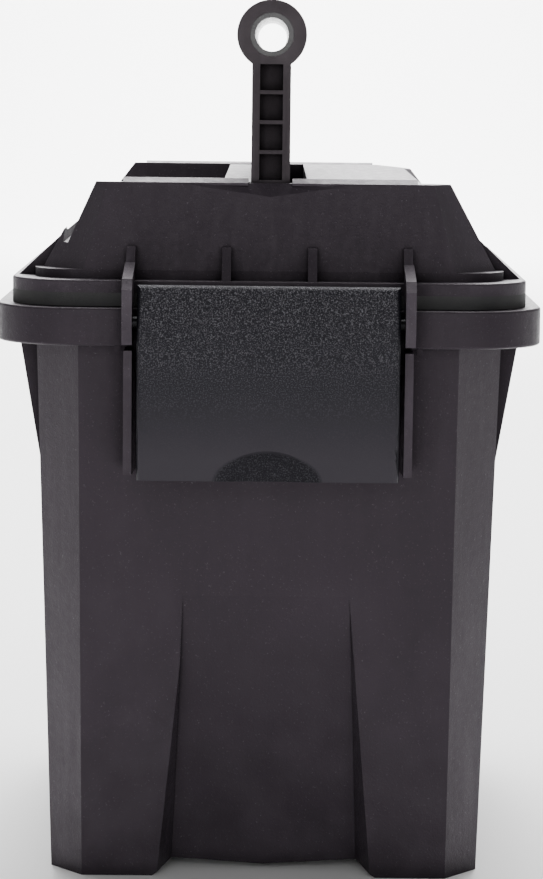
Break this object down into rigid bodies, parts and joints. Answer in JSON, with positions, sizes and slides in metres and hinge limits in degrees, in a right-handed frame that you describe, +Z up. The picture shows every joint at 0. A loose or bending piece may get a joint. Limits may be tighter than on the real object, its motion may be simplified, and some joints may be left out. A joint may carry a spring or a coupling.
{
  "type": "lockable bait box",
  "caption": "Lockable bait storage box with a gasketed hinged lid, a draw latch under a large flap and a fold-down carrying handle.",
  "frame": {"origin": "bottom centre of the whole box, with the handle upright and the lid latched", "axes": "+Z up; the latch end faces -Y and the lid hinge is at the +Y end; X runs across the narrow width and the handle folds towards -X"},
  "size_m": [0.218, 0.321, 0.3547],
  "materials": {
    "tub_plastic": "fine spark-eroded grain, charcoal with a faint purple cast",
    "latch_plastic": "coarser grain, dark blue-grey",
    "handle_plastic": "satin grain, near black",
    "tube_plastic": "smooth glossy black",
    "tray_plastic": "plain grey moulding",
    "seal_rubber": "soft black rubber",
    "pin_steel": "plain ground steel",
    "washer_plastic": "natural nylon"
  },
  "bodies": {
    "tub": {"body_tub": "tub_plastic", "bait_tray": "tray_plastic", "tray_dividers": "tray_plastic", "hinge_pin": "pin_steel", "hinge_pin_caps": "latch_plastic"},
    "lid": {"lid_shell": "tub_plastic", "rim_gasket": "seal_rubber", "latch_pin": "pin_steel", "front_pivot_pin": "pin_steel", "rear_pivot_pin": "pin_steel", "pivot_washers": "washer_plastic"},
    "latch": {"latch_flap": "latch_plastic", "claw_pin": "pin_steel"},
    "claw": {"latch_claw": "latch_plastic"},
    "handle": {"front_handle_arm": "handle_plastic", "rear_handle_arm": "handle_plastic", "grip_tube": "tube_plastic", "grip_sleeve": "handle_plastic"}
  },
  "joints": [
    {"name": "lid_hinge", "type": "hinge", "parent": "tub", "child": "lid", "pos_m": [0, 0.155, 0.2345], "axis": [-1, 0, 0], "range_deg": [0, 105]},
    {"name": "latch_pivot", "type": "hinge", "parent": "lid", "child": "latch", "pos_m": [0, -0.1495, 0.2285], "axis": [-1, 0, 0], "range_deg": [0, 75]},
    {"name": "claw_pivot", "type": "hinge", "parent": "latch", "child": "claw", "pos_m": [0, -0.1527, 0.2373], "axis": [-1, 0, 0], "range_deg": [-22.5, 0]},
    {"name": "handle_pivot", "type": "hinge", "parent": "lid", "child": "handle", "pos_m": [0, 0, 0.274], "axis": [0, -1, 0], "range_deg": [0, 90]}
  ],
  "couplings": [
    {"joint": "claw_pivot", "follows": "latch_pivot", "ratio": -0.3}
  ]
}
